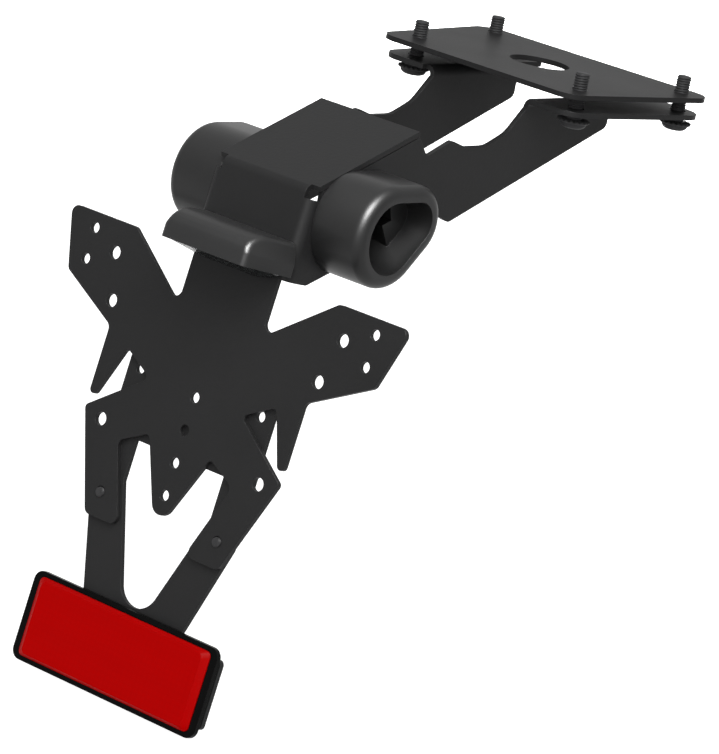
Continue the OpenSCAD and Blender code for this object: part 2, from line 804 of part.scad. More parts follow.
// A screw that holds the right boss from inside the arm
module boss_screw(spot) {
    color([0.12, 0.12, 0.13]) translate([arm_x - sheet_t, spot.x, spot.y]) rotate([0, 90, 0])
        plain_screw(boss_screw_d, boss_screw_l, boss_key);
}

// Distance from the middle to the centre of a ball that touches the hood's end from inside, at
// a height and a distance outwards
function hood_half(w, out) =
    back_half - end_slope * out - end_lean * max(0, crease - w)
    - light_edge_r * sqrt(1 + pow(end_slope, 2) + (w < crease ? pow(end_lean, 2) : 0));

// Heights and distances outwards of those balls: flat top, brow, band, back
brow_h = crease - core_top;
brow_l = core_out - light_roof;
hood_profile = concat(
    [[core_top, -light_edge_r]],
    [for (a = [0:brow_step:90]) [crease - brow_h * cos(a), light_roof + brow_l * sin(a)]],
    [[core_low, core_out], [core_low, -light_edge_r], [crease, -light_edge_r]]);

// Space around the hood's balls at a radius
module hood_space(r) {
    hull() for (p = hood_profile, side = [-1, 1])
        translate([side * hood_half(p.x, p.y), -p.x, p.y]) sphere(r = r, $fn = shell_fn);
}

// A block that holds all of the light between a height and the fold, and outside a distance
module light_zone(out, low) {
    translate([-light_back_w, -low, out]) cube([2 * light_back_w, low, 2 * light_out]);
}

module light_housing() {
    color([0.22, 0.22, 0.23]) on_panel() difference() {
        intersection() {
            hood_space(light_edge_r);
            light_zone(0, light_low);
        }
        difference() {
            intersection() {
                hood_space(light_edge_r - light_wall);
                light_zone(light_wall, light_low + cut);
            }
            for (side = [-1, 1])
                translate([side * light_screws / 2, -light_screw_w, 0])
                    cylinder(d = light_post_d, h = light_screw_l);
        }
        for (side = [-1, 1])
            translate([side * light_screws / 2, -light_screw_w, -cut])
                cylinder(d = light_screw_d + 2 * thread_play,
                    h = light_screw_l - sheet_t + screw_room + cut);
        translate([0, -light_screw_w, -cut]) cylinder(d = light_cable_d, h = light_wall + 2 * cut);
    }
}

// Plan of the lens, drawn inwards by an inset from the hood's inner wall
module lens_plan(inset) {
    r = light_edge_r - light_wall - inset;
    hull() for (side = [-1, 1], out = [light_edge_r, core_out])
        translate([side * hood_half(light_low, out), out]) circle(r = r, $fn = shell_fn);
}

// A bar across the lens near the panel, as wide as w, whose lower side is at a drop
module lens_bar(w, drop) {
    translate([-w / 2, light_wall + lens_play, light_low]) cube([w, lens_ridge_d, drop]);
}

module light_lens() {
    color([0.75, 0.78, 0.80, 0.6]) on_panel() rotate([90, 0, 0]) hull() {
        translate([0, 0, light_low - lens_rim]) linear_extrude(lens_rim) lens_plan(lens_play);
        lens_bar(lens_shoulder_w, lens_shoulder_drop);
        lens_bar(lens_ridge_w, lens_drop);
    }
}

module light_board() {
    color([0.10, 0.35, 0.20]) on_panel()
        translate([-board_w / 2, -board_low, board_front - board_d])
            cube([board_w, board_t, board_d]);
}

module light_led(side) {
    color([0.95, 0.93, 0.80]) on_panel()
        translate([side * led_pitch / 2 - led_w / 2, -board_low - led_h,
            board_front - board_d / 2 - led_w / 2])
            cube([led_w, led_h, led_w]);
}

module light_screw(side) {
    color([0.12, 0.12, 0.13]) on_panel()
        translate([side * light_screws / 2, -light_screw_w, -sheet_t])
            plain_screw(light_screw_d, light_screw_l, small_key);
}

// Outline of the reflector bracket, in the panel's coordinates
module link_outline() {
    half = reflector_w / 2;
    polygon(outline(both_sides([
        [0, -link_bar, 0],
        [link_ear_u - link_ear_step, -link_bar, link_r],
        [link_ear_u, -link_top, link_r],
        [link_w / 2, -link_top, link_r],
        [link_w / 2, -link_shoulder, link_shoulder_r],
        [link_low_w / 2, -backing_top, 0],
        [half, -backing_top, link_r],
        [half, -backing_top - backing_h, link_r]
    ])));
}

// Window of the reflector bracket: straight sides that narrow to a round end
module window_outline() {
    low = -window_end + window_r;
    touch = [window_r * cos(window_angle), low - window_r * sin(window_angle)];
    translate([0, low]) circle(r = window_r);
    polygon(outline(both_sides([
        [window_w / 2, -window_top, 0], [window_w / 2, -window_shoulder, 0], point3(touch, 0)
    ])));
}

module reflector_bracket() {
    color([0.15, 0.15, 0.16]) on_panel() difference() {
        translate([0, 0, -2 * sheet_t]) linear_extrude(sheet_t) difference() {
            link_outline();
            window_outline();
        }
        for (side = [-1, 1]) translate([0, 0, -sheet_t]) {
            sheet_hole(side * spare_w / 2, -spare_z, small_hole_d);
            sheet_hole(side * link_screws / 2, -link_screw_z, link_screw_d + 2 * screw_play);
        }
    }
}

module bracket_screw(side) {
    color([0.36, 0.36, 0.38]) on_panel()
        translate([side * link_screws / 2, -link_screw_z, -2 * sheet_t])
            plain_screw(link_screw_d, 2 * sheet_t + link_screw_stand, small_key);
}

// A rounded plate behind or in front of the reflector's middle, from a height outwards
module reflector_slab(margin_x, margin_y, r, z, h) {
    w = reflector_w / 2 - margin_x;
    top = reflector_top + margin_y;
    low = reflector_top + reflector_h - margin_y;
    translate([0, 0, z]) linear_extrude(h) polygon(outline(both_sides([[w, -top, r], [w, -low, r]])));
}

module reflector_pad() {
    color([0.08, 0.08, 0.08]) on_panel()
        reflector_slab(pad_margin, pad_margin, pad_r, -sheet_t, pad_t);
}

module reflector_base() {
    floor_z = -sheet_t + pad_t;
    color([0.02, 0.02, 0.02]) on_panel() difference() {
        reflector_slab(0, 0, base_r, floor_z, base_t);
        reflector_slab(border_side, border_top, base_r - border_top,
            floor_z + base_t - lens_seat, lens_seat + cut);
    }
}

module reflector_lens() {
    floor_z = -sheet_t + pad_t + base_t - lens_seat;
    side = border_side + lens_play;
    top = border_top + lens_play;
    color([0.66, 0.0, 0.0, 0.9]) on_panel() hull() {
        reflector_slab(side, top, base_r - border_top, floor_z, lens_seat + lens_edge);
        reflector_slab(side + lens_slope, top + lens_slope_top, base_r - border_top,
            floor_z + lens_seat, lens_stand);
    }
}

top_plate();
main_bracket();
mount_screw(screw_spots[0]);  // mount_screw_rear_left
mount_screw(screw_spots[1]);  // mount_screw_rear_right
mount_screw(screw_spots[2]);  // mount_screw_front_left
mount_screw(screw_spots[3]);  // mount_screw_front_right
indicator_boss_left();
indicator_boss_right();
mirror([1, 0, 0]) boss_screw(boss_spots[0]);  // boss_screw_left_front
mirror([1, 0, 0]) boss_screw(boss_spots[1]);  // boss_screw_left_low
boss_screw(boss_spots[0]);  // boss_screw_right_front
boss_screw(boss_spots[1]);  // boss_screw_right_low
light_housing();
light_lens();
light_board();
light_led(-1);  // light_led_left
light_led(1);  // light_led_right
light_screw(-1);  // light_screw_left
light_screw(1);  // light_screw_right
reflector_bracket();
bracket_screw(-1);  // bracket_screw_left
bracket_screw(1);  // bracket_screw_right
reflector_pad();
reflector_base();
reflector_lens();
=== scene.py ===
# %% [markdown]
# A tail tidy is the small folded bracket that hangs the number plate, the indicators, a plate
# light and a reflector under a motorbike's tail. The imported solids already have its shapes, so
# this file gives them their finishes, and makes again only what is too fine for the solids: the
# screws' threads, serrations and sockets.

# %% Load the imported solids
import json
import math

import bmesh
import bpy
import numpy as np
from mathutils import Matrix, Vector


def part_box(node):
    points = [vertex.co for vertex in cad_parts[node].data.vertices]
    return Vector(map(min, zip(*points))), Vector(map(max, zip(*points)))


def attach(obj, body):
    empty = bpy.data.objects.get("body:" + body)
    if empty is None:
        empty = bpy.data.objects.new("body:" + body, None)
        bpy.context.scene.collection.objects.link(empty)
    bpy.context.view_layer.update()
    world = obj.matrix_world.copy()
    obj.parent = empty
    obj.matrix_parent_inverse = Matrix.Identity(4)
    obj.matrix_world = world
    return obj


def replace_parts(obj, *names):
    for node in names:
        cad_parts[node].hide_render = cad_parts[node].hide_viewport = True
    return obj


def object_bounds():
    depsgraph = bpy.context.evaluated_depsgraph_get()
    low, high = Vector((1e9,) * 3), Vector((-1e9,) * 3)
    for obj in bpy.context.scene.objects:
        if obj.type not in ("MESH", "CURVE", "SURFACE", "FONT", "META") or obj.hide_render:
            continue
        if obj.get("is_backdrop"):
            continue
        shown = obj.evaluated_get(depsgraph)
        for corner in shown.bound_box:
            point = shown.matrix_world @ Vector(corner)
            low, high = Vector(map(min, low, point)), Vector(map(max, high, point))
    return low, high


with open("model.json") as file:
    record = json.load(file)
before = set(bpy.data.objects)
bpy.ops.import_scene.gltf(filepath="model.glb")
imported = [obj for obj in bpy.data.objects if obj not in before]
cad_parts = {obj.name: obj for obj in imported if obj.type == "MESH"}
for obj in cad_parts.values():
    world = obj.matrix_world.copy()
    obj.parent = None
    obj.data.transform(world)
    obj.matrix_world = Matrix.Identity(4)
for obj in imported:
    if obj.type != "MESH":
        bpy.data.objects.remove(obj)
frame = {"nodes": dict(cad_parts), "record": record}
cad_low, cad_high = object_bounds()
nodes = frame["nodes"]
MM = 0.001
print("solids", len(nodes))

# %% [markdown]
# The camera comes first. Its place was found from the bracket's own right angles: square
# corners, parallel edges and the round hole, seen in the photograph. It stands about 1.7 m off,
# to the right, behind and a little above, and is rolled by 11 degrees, as the photograph is.

# %% Camera
camera_place = (0.97894, -1.36859, 0.26953)
sensor_w, lens = 36.0, 206.62
nearest, farthest = 0.1, 30.0
yaw, pitch, roll = np.radians([37.107, 13.650, 11.352])
back = np.array([math.sin(yaw) * math.cos(pitch), -math.cos(yaw) * math.cos(pitch), math.sin(pitch)])
right = np.array([math.cos(yaw), math.sin(yaw), 0.0])
up = np.cross(back, right)
axis_x = math.cos(roll) * right + math.sin(roll) * up
axis_y = math.cos(roll) * up - math.sin(roll) * right
camera = bpy.data.objects.new("camera", bpy.data.cameras.new("camera"))
bpy.context.scene.collection.objects.link(camera)
matrix = np.eye(4)
matrix[:3, 0], matrix[:3, 1], matrix[:3, 2] = axis_x, axis_y, back
matrix[:3, 3] = camera_place
camera.matrix_world = matrix.T.tolist()
camera.data.sensor_width = sensor_w
camera.data.lens = lens
camera.data.clip_start, camera.data.clip_end = nearest, farthest
bpy.context.scene.camera = camera
print("camera at", camera_place)

# %% [markdown]
# A finish is written as sums on sockets. One small class wraps a node's output, so that a plain
# Python expression such as 0.4 + 0.2 * grain adds its Math nodes by itself. Each operator has
# its reflected form, so that a number may stand on either side.

# %% Shader maths
class Socket:
    """An output of a node, with the arithmetic that the finishes use."""

    def __init__(self, tree, output):
        self.tree, self.output = tree, output

    def _math(self, operation, a, b):
        n = self.tree.nodes.new("ShaderNodeMath")
        n.operation = operation
        for slot, value in zip(n.inputs, (a, b)):
            if isinstance(value, Socket):
                self.tree.links.new(value.output, slot)
            else:
                slot.default_value = value
        return Socket(self.tree, n.outputs[0])

    def __add__(self, other):
        return self._math("ADD", self, other)

    def __radd__(self, other):
        return self._math("ADD", other, self)

    def __sub__(self, other):
        return self._math("SUBTRACT", self, other)

    def __rsub__(self, other):
        return self._math("SUBTRACT", other, self)

    def __mul__(self, other):
        return self._math("MULTIPLY", self, other)

    def __rmul__(self, other):
        return self._math("MULTIPLY", other, self)

    def __gt__(self, other):
        return self._math("GREATER_THAN", self, other)


# %% [markdown]
# Every finish starts from the same shader and reads the same Object coordinates, so a second
# class holds these. Its methods add noise, a mix of two colours, and a relief: a height that
# tilts the surface, over edges that are shaded as if they were a little rounded.

# %% One finish
soft_edge, soft_samples = 0.25 * MM, 4


class Finish:
    """A material with a Principled shader, and one method that adds any other node."""

    def __init__(self, name, **fixed):
        self.material = bpy.data.materials.new(name)
        self.material.use_nodes = True
        self.tree = self.material.node_tree
        self.shader = self.tree.nodes["Principled BSDF"]
        for key, value in fixed.items():
            self.shader.inputs[key.replace("_", " ").title().replace("Ior", "IOR")].default_value = value
        self.place = self.node("ShaderNodeTexCoord", output="Object")

    def set(self, slot, value):
        """Links a socket, or writes a plain value."""
        if isinstance(value, Socket):
            self.tree.links.new(value.output, slot)
        else:
            slot.default_value = value

    def node(self, kind, settings=None, sockets=None, output=0):
        """Adds a node: its settings first, then the values or links of its sockets."""
        n = self.tree.nodes.new(kind)
        for key, value in (settings or {}).items():
            setattr(n, key, value)
        for key, value in (sockets or {}).items():
            self.set(n.inputs[key], value)
        return Socket(self.tree, n.outputs[output])

    def noise(self, per_metre, detail=2.0):
        """Cloudy noise from 0 to 1, with so many features to the metre."""
        return self.node("ShaderNodeTexNoise", None,
                         {"Vector": self.place, "Scale": per_metre, "Detail": detail}, "Fac")

    def mix(self, factor, a, b):
        """A colour between two, by a factor. A Mix node keeps a set of sockets for each kind of
        value: its colours are inputs 6 and 7, and output 2."""
        n = self.tree.nodes.new("ShaderNodeMix")
        n.data_type = "RGBA"
        self.set(n.inputs[0], factor)
        for slot, value in ((n.inputs[6], a), (n.inputs[7], b)):
            self.set(slot, value if isinstance(value, Socket) else (*value, 1.0))
        return Socket(self.tree, n.outputs[2])

    def relief(self, height, distance, strength=1.0):
        """Tilts the surface by a height from 0 to 1 times a distance in metres, over soft edges."""
        soft = self.node("ShaderNodeBevel", {"samples": soft_samples}, {"Radius": soft_edge})
        bump = self.node("ShaderNodeBump", None,
                         {"Height": height, "Distance": distance, "Strength": strength, "Normal": soft})
        self.set(self.shader.inputs["Normal"], bump)

    def colour(self, value):
        self.set(self.shader.inputs["Base Color"], value)

    def rough(self, value):
        self.set(self.shader.inputs["Roughness"], value)


# %% [markdown]
# Powder coat is a black paint that is melted on. Close up it has a fine orange peel, and its
# gloss changes a little from place to place. Two scales of noise do both: the small one tilts
# the surface, the wide one shifts colour and roughness. How much the coat reflects and its two
# greys are left open, because the top plate lies flat under the lamps and needs less gloss.

# %% Black powder coat
def grey(level):
    """A dark grey whose blue is 1.02 times its red and green."""
    return (level, level, level * 1.02)


def powder_coat(name, gloss, dark, pale):
    f = Finish(name, specular_ior_level=gloss)
    cloud, peel, grain = f.noise(28.0, 4.0), f.noise(700.0), f.noise(2600.0, 1.0)
    f.colour(f.mix(0.6 * cloud + 0.4 * grain, grey(dark), grey(pale)))
    f.rough(0.37 + 0.09 * cloud + 0.05 * grain)
    f.relief(0.7 * peel + 0.3 * grain, 0.05 * MM)
    return f.material


sheet_coat = powder_coat("powder_coat", 0.06, 0.017, 0.023)
plate_coat = powder_coat("plate_coat", 0.03, 0.018, 0.024)
print("coats", sheet_coat.name, plate_coat.name)

# %% [markdown]
# The indicator bosses and the light's hood are moulded. Such a mould leaves a very fine even
# grain. Their round rims carry a broad soft highlight that the flat sheet doesn't, so they
# reflect more than the paint and are a little smoother. The hood's copy has paler greys as
# painted light, standing in for the brighter light on its upward faces.

# %% Moulded black
def moulded_black(name, dark, pale):
    f = Finish(name, specular_ior_level=0.18)
    cloud, grain = f.noise(40.0, 3.0), f.noise(1900.0, 3.0)
    f.colour(f.mix(0.5 * cloud + 0.5 * grain, grey(dark), grey(pale)))
    f.rough(0.32 + 0.08 * grain + 0.05 * cloud)
    f.relief(grain, 0.02 * MM)
    return f.material


boss_black = moulded_black("moulded_black", 0.010, 0.014)
# Painted light: the hood's copy has paler greys than the bosses, standing in for the light on its upward
# faces.
hood_black_painted_lit = moulded_black("hood_black_painted_lit", 0.014, 0.020)
print("mouldings", boss_black.name, hood_black_painted_lit.name)

# %% [markdown]
# The screws are steel with a black oxide skin. The skin hides the metal, so the shader isn't
# metallic and hardly reflects. It is a dark grey, paler where tools and washers rub.

# %% Black oxide steel
def black_oxide():
    f = Finish("screw_black", specular_ior_level=0.03)
    rub, fine = f.noise(350.0, 4.0), f.noise(3000.0, 2.0)
    f.colour(f.mix(rub * fine + 0.15 * rub, (0.034, 0.034, 0.035), (0.075, 0.075, 0.077)))
    f.rough(0.40 + 0.15 * rub)
    f.relief(fine, 0.01 * MM)
    return f.material


# %% [markdown]
# A reflector's red lens is smooth in front and has rows of small cube corners behind, which send
# light straight back. From outside they show as a faint grid of cells under the gloss, so a
# cell pattern shades the red a little and a thin clear coat lies over it.

# %% Red reflector lens
def red_lens():
    f = Finish("red_lens", coat_weight=0.012, coat_roughness=0.12, specular_ior_level=0.015)
    cells = f.node("ShaderNodeTexVoronoi", {"feature": "F1"},
                   {"Vector": f.place, "Scale": 430.0, "Randomness": 0.0}, "Distance")
    cloud = f.noise(45.0, 2.0)
    f.colour(f.mix(0.75 * cells + 0.25 * cloud, (0.46, 0.0, 0.0), (0.40, 0.0, 0.0)))
    f.rough(0.26 + 0.1 * cells)
    f.relief(cells, 0.02 * MM, 0.5)
    return f.material


# %% [markdown]
# The lens sits in a black moulded base, which a pad of foam tape sticks to its bracket. The base
# is the blackest piece of all, with a smooth face. The foam is cut through, so its side shows
# cells: a cell pattern does for its colour and its relief.

# %% Gloss black base and foam tape
def gloss_black():
    f = Finish("gloss_black", specular_ior_level=0.03)
    cloud, fine = f.noise(60.0, 3.0), f.noise(1500.0, 2.0)
    f.colour(f.mix(cloud, (0.001, 0.001, 0.001), (0.003, 0.003, 0.003)))
    f.rough(0.22 + 0.14 * cloud)
    f.relief(fine, 0.004 * MM)
    return f.material


def foam_tape():
    f = Finish("foam_pad", roughness=0.95, specular_ior_level=0.1)
    cells = f.node("ShaderNodeTexVoronoi", {"feature": "F1"},
                   {"Vector": f.place, "Scale": 2200.0}, "Distance")
    f.colour(f.mix(cells, (0.010, 0.010, 0.010), (0.035, 0.035, 0.035)))
    f.relief(cells, 0.15 * MM)
    return f.material


# %% [markdown]
# The light's lens spreads the light sideways with fine flutes: a wave along X that folds back
# and forth. It is part glass, and its dark colour is painted shade: the shade of the hood that
# it lies in.

# %% Fluted clear lens
flute_w = 0.7 * MM


def clear_lens():
    f = Finish("clear_lens", transmission_weight=0.45, ior=1.49, specular_ior_level=0.05)
    x = f.node("ShaderNodeSeparateXYZ", None, {"Vector": f.place}, "X")
    flutes = f.node("ShaderNodeMath", {"operation": "PINGPONG"}, {0: x, 1: flute_w}) * (1 / flute_w)
    # Painted shade: the dark colour stands for the hood's shade on the lens, striped by the flutes.
    f.colour(f.mix(flutes, (0.02, 0.022, 0.022), (0.05, 0.054, 0.054)))
    f.rough(0.08 + 0.10 * f.noise(500.0))
    f.relief(flutes, 0.25 * MM)
    return f.material


# %% [markdown]
# Behind the lens lie a green circuit board and two pale yellow emitters. A brick pattern's
# mortar stands for the copper tracks under the green paint, raised by a hair.

# %% Circuit board and emitters
black, white = (0, 0, 0, 1), (1, 1, 1, 1)


def circuit_board():
    f = Finish("circuit_board", specular_ior_level=0.5)
    tracks = f.node("ShaderNodeTexBrick", {"offset": 0.5},
                    {"Vector": f.place, "Scale": 300.0, "Mortar Size": 0.06,
                     "Color1": black, "Color2": black, "Mortar": white}, "Fac")
    f.colour(f.mix(tracks, (0.015, 0.13, 0.05), (0.04, 0.25, 0.10)))
    f.rough(0.30 + 0.1 * tracks)
    f.relief(tracks, 0.03 * MM)
    return f.material


def emitter():
    f = Finish("emitter", roughness=0.4)
    cloud = f.noise(900.0)
    f.colour(f.mix(cloud, (0.80, 0.76, 0.42), (0.92, 0.90, 0.62)))
    f.relief(cloud, 0.02 * MM)
    return f.material


# %% [markdown]
# The record names a material slot for each node, and each slot has one finish. Two nodes have
# a finish of their own in the same slot: the light's hood, whose paler greys are painted light,
# and the top plate.

# %% A finish for each node
finishes = {"powder_coat": sheet_coat, "moulded_black": boss_black, "screw_black": black_oxide(),
            "red_lens": red_lens(), "gloss_black": gloss_black(), "foam_pad": foam_tape(),
            "clear_lens": clear_lens(), "circuit_board": circuit_board(), "emitter": emitter()}
own_finish = {"light_housing": hood_black_painted_lit, "top_plate": plate_coat}
slot_of = {s["node"]: s["material_slot"] for s in frame["record"]["subparts"]}
finish_of = {name: own_finish.get(name, finishes[slot]) for name, slot in slot_of.items()}
for name, solid in nodes.items():
    solid.data.materials.clear()
    solid.data.materials.append(finish_of[name])
print("finishes", sorted(finishes))

# %% [markdown]
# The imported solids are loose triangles, which show their facets on every curve. A copy with its
# corners welded, and with smooth shading between faces that meet at less than 28 degrees, has
# round folds, rims and holes, and stands for the solid.

# %% Welded and smoothed copies
weld_grid = 1e-7
solid_smooth = math.radians(28)


def welded(name):
    """A copy of a solid's mesh. Corners that round to the same point of a fine grid become one,
    and triangles that lose a corner by it are dropped."""
    source = nodes[name].data
    points = np.empty(len(source.vertices) * 3, np.float32)
    source.vertices.foreach_get("co", points)
    corners = np.empty(len(source.loops), np.int32)
    source.loops.foreach_get("vertex_index", corners)
    places, index = np.unique(np.round(points.reshape(-1, 3) / weld_grid).astype(np.int64), axis=0,
                              return_inverse=True)
    triangles = index.ravel()[corners].reshape(-1, 3)
    whole = (triangles != np.roll(triangles, 1, axis=1)).all(axis=1)
    mesh = bpy.data.meshes.new(name + ".welded")
    mesh.from_pydata((places * weld_grid).tolist(), [], triangles[whole].tolist())
    mesh.shade_smooth()
    mesh.set_sharp_from_angle(angle=solid_smooth)
    piece = bpy.data.objects.new(name + ".welded", mesh)
    bpy.context.scene.collection.objects.link(piece)
    mesh.materials.append(finish_of[name])
    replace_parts(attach(piece, "root"), name)


screws = [n for n in nodes if "_screw_" in n]
for name in nodes:
    if name not in screws:
        welded(name)
print("welded", len(nodes) - len(screws))

# %% [markdown]
# A screw is one surface of revolution whose radius also depends on the angle: six-sided in the
# socket, round on the head, and a spiral groove along the thread. So the whole screw is one grid
# of rows: from the middle of the socket, out over the head, up the shank and in to its end. A
# row is a radius and a height at every angle, in millimetres, with the head below 0.

# %% A screw's head
socket_depth = 0.42   # height of the socket's floor, as a share of the head's
socket_draft = 0.98   # the socket's width at its floor and height at its mouth, as shares of the full ones
mouth_bevel = 0.45    # width of the bevel round the socket
crown_steps = 10      # rows over the rounded head
crown_edge = 0.5      # where the rounding starts, outside the socket
flange_crown = 0.42   # radius of the crown on a flange, as a share of the flange's diameter
rim_bevel = 0.35      # width of the bevel on the flange's outer side
rim_edge = 0.25       # height of the rim's two edges
tooth_h = 0.6         # height of a serration at the rim
tooth_in = 0.3        # distance from the rim to the top of a serration
tooth_low = 0.05      # how far that top stays below the head's seat
land_tooth_h = 0.45   # height of a serration near the shank
land_out = 1.2        # distance of that height from the shank
land_in = 0.7         # distance from the shank where the seat is flat
plain_base = 0.12     # where a plain head's rounding ends, as a share of its height
plain_edge = 0.05     # height of a plain head's lower edge, as a share of the head's
plain_in = 0.1        # how far a plain head's seat is drawn in


def hexagon(angle, flat):
    """Radius of a hexagon at an angle: half its width over flats, over the cosine of the angle
    from the nearest flat's middle."""
    return flat / np.cos((angle + math.pi / 6) % (math.pi / 3) - math.pi / 6)


def socket_rows(angle, ring, head_h, key):
    """The key's socket, from the middle of its floor up to the bevel round its mouth."""
    floor = -head_h * socket_depth * ring
    return [(0 * ring, floor), (hexagon(angle, key / 2 * socket_draft), floor),
            (hexagon(angle, key / 2), -head_h * socket_draft * ring),
            (ring * (key / 2 + mouth_bevel), -head_h * ring)]


def crown_rows(ring, head_h, key, crown, base):
    """The rounded head: a quarter of an ellipse, out from the socket and down to its base."""
    start = key / 2 + crown_edge
    return [(ring * (start + (crown - key / 2 - crown_edge) * math.sin(t)),
             -ring * (base + (head_h - base) * math.cos(t)))
            for t in np.linspace(0, math.pi / 2, crown_steps)]


def flange_rows(angle, ring, d, flange_d, flange_t, teeth):
    """A flange with serrations on its upper face: a cosine wave of the angle, so many to a
    turn, whose height falls towards the shank."""
    wave = 0.5 - 0.5 * np.cos(teeth * angle)
    rim = flange_d / 2
    return [(ring * (rim - rim_bevel), -ring * flange_t), (ring * rim, -ring * (flange_t - rim_edge)),
            (ring * rim, -rim_edge * ring - tooth_h * wave),
            (ring * (rim - tooth_in), -tooth_low * ring - tooth_h * wave),
            (ring * (d / 2 + land_out), -land_tooth_h * wave * ring), (ring * (d / 2 + land_in), 0 * ring)]


# %% [markdown]
# The thread runs from just above the head to the end. It fades in over its first turn. Near the
# end the groove gets shallower and the crest drops, as the chamfer on a real screw makes it.

# %% A screw's thread
foot_share = 0.98     # width of the shank at the head, as a share of its diameter
thread_share = 0.54   # depth of the thread, as a share of its pitch
thread_start = 0.4    # height where it starts
thread_rows_each = 8  # rows to a pitch
end_fade = 0.35       # share of the groove's depth that is left at the end
end_thin = 0.14       # share of its radius that the crest loses at the end
end_turns = 0.5       # turns over which it does
tip_share = 0.92      # width of the end's flat, as a share of the thread's root


def thread_rows(angle, ring, d, length, pitch):
    """Rows up the shank and over its end. The radius is the crest less a triangle wave of
    height over pitch minus angle over a full turn."""
    depth = thread_share * pitch
    rows = []
    for z in np.arange(thread_start, length + 1e-6, pitch / thread_rows_each):
        saw = np.abs((((z / pitch - angle / (2 * math.pi)) % 1) * 2) - 1)
        lead = min(1.0, (z - thread_start) / pitch, (length - z) / pitch + end_fade)
        crest = min(1.0, 1 - end_thin * max(0.0, 1 - (length - z) / (end_turns * pitch)))
        rows.append((d / 2 * crest - depth * max(0.0, lead) * saw, z * ring))
    return rows + [(ring * (d / 2 - depth) * tip_share, length * ring), (0 * ring, length * ring)]


def screw_rows(d, length, pitch, head_d, head_h, key, flange_d=0.0, flange_t=0.0, teeth=0, around=80):
    """All rows of a screw: socket, crown, flange or plain rim, shank and thread."""
    angle = np.linspace(0, 2 * math.pi, around, endpoint=False)
    ring = np.ones(around)
    rows = socket_rows(angle, ring, head_h, key)
    if flange_d:
        rows += crown_rows(ring, head_h, key, flange_d * flange_crown, flange_t)
        rows += flange_rows(angle, ring, d, flange_d, flange_t, teeth)
    else:
        rows += crown_rows(ring, head_h, key, head_d / 2, plain_base * head_h)
        rows += [(ring * head_d / 2, -plain_edge * head_h * ring),
                 (ring * (head_d / 2 - plain_in), 0 * ring)]
    rows.append((ring * d / 2 * foot_share, 0 * ring))
    rows += thread_rows(angle, ring, d, length, pitch)
    return angle, np.array([r for r, _ in rows]), np.array([z for _, z in rows])


# %% [markdown]
# The grid becomes a mesh in one go. Its first and last rows are single points, so each of them
# is given one number, and the faces beside them become triangles that close the poles.

# %% From rows to a mesh
screw_smooth = math.radians(35)


def screw_mesh(name, node, turn, place, **size):
    """A screw's grid as a mesh. Points are (r cos a, r sin a, z), turned and moved into place."""
    angle, radius, height = screw_rows(**size)
    points = np.stack([radius * np.cos(angle), radius * np.sin(angle), height], -1) * MM
    points = points.reshape(-1, 3) @ np.array(turn).T + np.array(place) * MM
    rows, cols = radius.shape
    i, j = np.meshgrid(np.arange(rows - 1), np.arange(cols), indexing="ij")
    k = (j + 1) % cols
    faces = np.stack([i * cols + j, i * cols + k, (i + 1) * cols + k, (i + 1) * cols + j], -1).reshape(-1, 4)
    index = np.arange(rows * cols)
    index[:cols], index[-cols:] = 0, (rows - 1) * cols
    mesh = bpy.data.meshes.new(name)
    mesh.from_pydata(points.tolist(), [], [list(dict.fromkeys(f)) for f in index[faces].tolist()])
    b = bmesh.new()
    b.from_mesh(mesh)
    bmesh.ops.remove_doubles(b, verts=b.verts, dist=weld_grid)
    bmesh.ops.recalc_face_normals(b, faces=b.faces)
    b.to_mesh(mesh)
    b.free()
    mesh.shade_smooth()
    mesh.set_sharp_from_angle(angle=screw_smooth)
    piece = bpy.data.objects.new(name, mesh)
    bpy.context.scene.collection.objects.link(piece)
    mesh.materials.append(finishes["screw_black"])
    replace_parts(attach(piece, "root"), node)


# %% [markdown]
# There are three kinds of screw. The four mounting screws stand upright, the boss screws point
# outwards from inside each arm, and the small ones lean as the rear panel does. Each is placed
# from the box of the solid that it stands for.

# %% Screws in their places
mount_screw = dict(d=6.0, length=18.0, pitch=1.0, head_d=10.6, head_h=3.6, key=4.0,
                   flange_d=12.6, flange_t=1.2, teeth=18, around=108)
boss_screw = dict(d=5.0, length=10.0, pitch=0.8, head_d=9.5, head_h=2.75, key=3.0)
small_screw = dict(d=4.0, pitch=0.7, head_d=7.6, head_h=2.2, key=2.5)
light_screw_l, bracket_screw_l = 8.0, 4.8
panel_lean = math.radians(10.2)
out = np.array([0, -math.cos(panel_lean), math.sin(panel_lean)])
tall = np.array([0, math.sin(panel_lean), math.cos(panel_lean)])
leaning = np.stack([[1, 0, 0], tall, out], 1)


def box_mm(node):
    """Middle, lowest and highest corner of a node's box, in millimetres."""
    low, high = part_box(node)
    return [(a + b) / 2 / MM for a, b in zip(low, high)], [a / MM for a in low], [a / MM for a in high]


for node in screws:
    centre, low, high = box_mm(node)
    if node.startswith("mount_"):
        foot = [centre[0], centre[1], high[2] - mount_screw["length"]]
        screw_mesh(node + ".threaded", node, np.eye(3), foot, **mount_screw)
    elif node.startswith("boss_"):
        side = 1.0 if centre[0] > 0 else -1.0
        sideways = np.array([[0, 0, side], [0, 1, 0], [-side, 0, 0]])
        inner = low[0] if side > 0 else high[0]
        foot = [inner + side * boss_screw["head_h"], centre[1], centre[2]]
        screw_mesh(node + ".threaded", node, sideways, foot, **boss_screw)
    else:
        length = light_screw_l if node.startswith("light_") else bracket_screw_l
        foot = np.array(centre) + out * (small_screw["head_h"] - length) / 2
        screw_mesh(node + ".threaded", node, leaning, foot, length=length, **small_screw)
print("screws", len(screws))

# %% [markdown]
# A studio for a dark object starts with what surrounds it. The camera, glossy reflections and
# the clear lens see white all round, which keeps the outline crisp. All other light from the
# sky is dimmer, or it would wash the black out. The floor does the same: it is grey, but glows
# for the camera and for reflections.

# %% Sky and floor
sky_strength, floor_glow, floor_grey = 0.45, 0.80, 0.62
floor_half, floor_gap = 6, 2 * MM


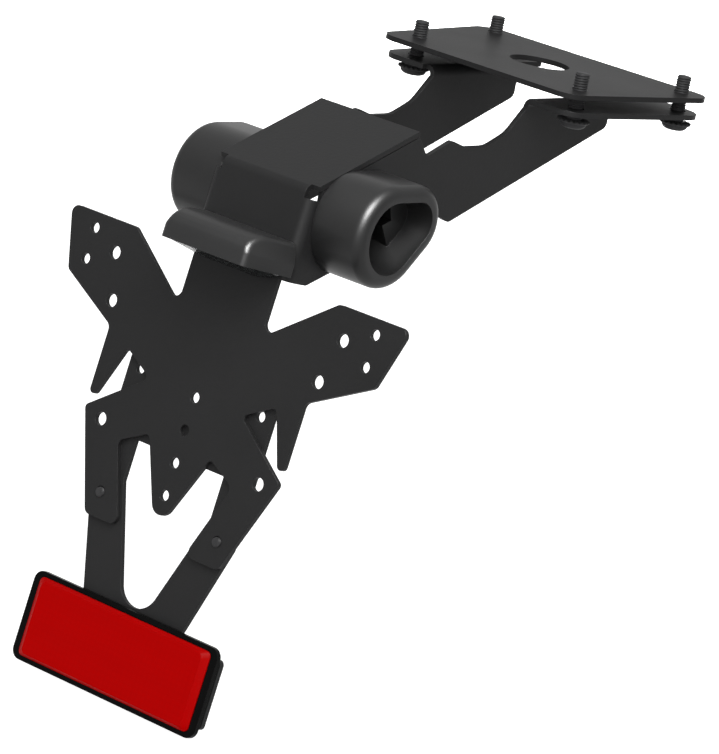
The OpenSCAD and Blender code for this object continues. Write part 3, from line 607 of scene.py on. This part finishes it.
def seen(tree, rays):
    """1 for rays of the kinds that are named, 0 for all others."""
    path = tree.nodes.new("ShaderNodeLightPath")
    flags = [Socket(tree, path.outputs["Is %s Ray" % kind]) for kind in rays]
    return sum(flags[1:], flags[0]) > 0.5


world = bpy.data.worlds.new("studio")
bpy.context.scene.world = world
world.use_nodes = True
sky = world.node_tree.nodes["Background"]
sky.inputs["Color"].default_value = white
bright = seen(world.node_tree, ("Camera", "Glossy", "Transmission"))
strength = sky_strength + (1.0 - sky_strength) * bright
world.node_tree.links.new(strength.output, sky.inputs["Strength"])
bpy.context.scene.view_settings.view_transform = "Standard"

floor_mesh = bpy.data.meshes.new("floor")
floor_z = cad_low.z - floor_gap
floor_corners = [(-1, -1), (1, -1), (1, 1), (-1, 1)]
floor_mesh.from_pydata([(floor_half * x, floor_half * y, floor_z) for x, y in floor_corners],
                       [], [(0, 1, 2, 3)])
floor = bpy.data.objects.new("floor", floor_mesh)
bpy.context.scene.collection.objects.link(floor)
pale = bpy.data.materials.new("pale_floor")
pale.use_nodes = True
tree = pale.node_tree
shader = tree.nodes["Principled BSDF"]
shader.inputs["Base Color"].default_value = (floor_grey, floor_grey, floor_grey, 1)
shader.inputs["Roughness"].default_value = 0.9
shader.inputs["Specular IOR Level"].default_value = 0.0
shader.inputs["Emission Color"].default_value = white
glow = seen(tree, ("Camera", "Glossy")) * floor_glow
tree.links.new(glow.output, shader.inputs["Emission Strength"])
floor_mesh.materials.append(pale)
floor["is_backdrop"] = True
print("floor at", round(floor_z / MM, 1), "mm")

# %% [markdown]
# Four soft lamps light the object. The key is wide and stands high above the camera, so upward
# faces are the brightest. The glint is smaller, stands at the same place and shows only in
# reflections: it draws the highlight on the round rims and adds no light of its own elsewhere.
# The fill is weak and stands to the camera's left, at its height. The back lamp on the far side
# lifts what faces away from the camera. It shows in no reflection, because its mirror image
# would brighten the flat plate.

# %% Lamps
def lamp(name, place, aim, wide, tall, watts):
    """A soft lamp at a place, turned to face a point, its tall side upwards."""
    light = bpy.data.lights.new(name, "AREA")
    light.shape, light.size, light.size_y, light.energy = "RECTANGLE", wide, tall, watts
    holder = bpy.data.objects.new(name, light)
    bpy.context.scene.collection.objects.link(holder)
    holder.location = place
    way = np.array(aim) - np.array(place)
    holder.rotation_euler = Vector(way).to_track_quat("-Z", "Y").to_euler()
    return holder


aim = (0.04, -0.13, -0.05)
key_place, fill_place, back_place = (0.88, -1.13, 1.46), (0.60, -1.90, 0.25), (-1.20, 1.40, 0.10)
key = lamp("key", key_place, aim, wide=1.8, tall=2.4, watts=26)
glint = lamp("glint", key_place, aim, wide=0.9, tall=1.0, watts=600)
fill = lamp("fill", fill_place, aim, wide=0.8, tall=0.5, watts=8)
behind = lamp("back", back_place, aim, wide=1.0, tall=0.5, watts=27)
glint.visible_diffuse = False
behind.visible_glossy = False
print("lamps", [holder.name for holder in (key, glint, fill, behind)])

# %% [markdown]
# At the end the box of all that shows is printed. It agrees with the box of the imported solids
# when no finish or thread has made the object larger or smaller.

low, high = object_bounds()
print("visual box mm", [round((b - a) / MM, 1) for a, b in zip(low, high)])
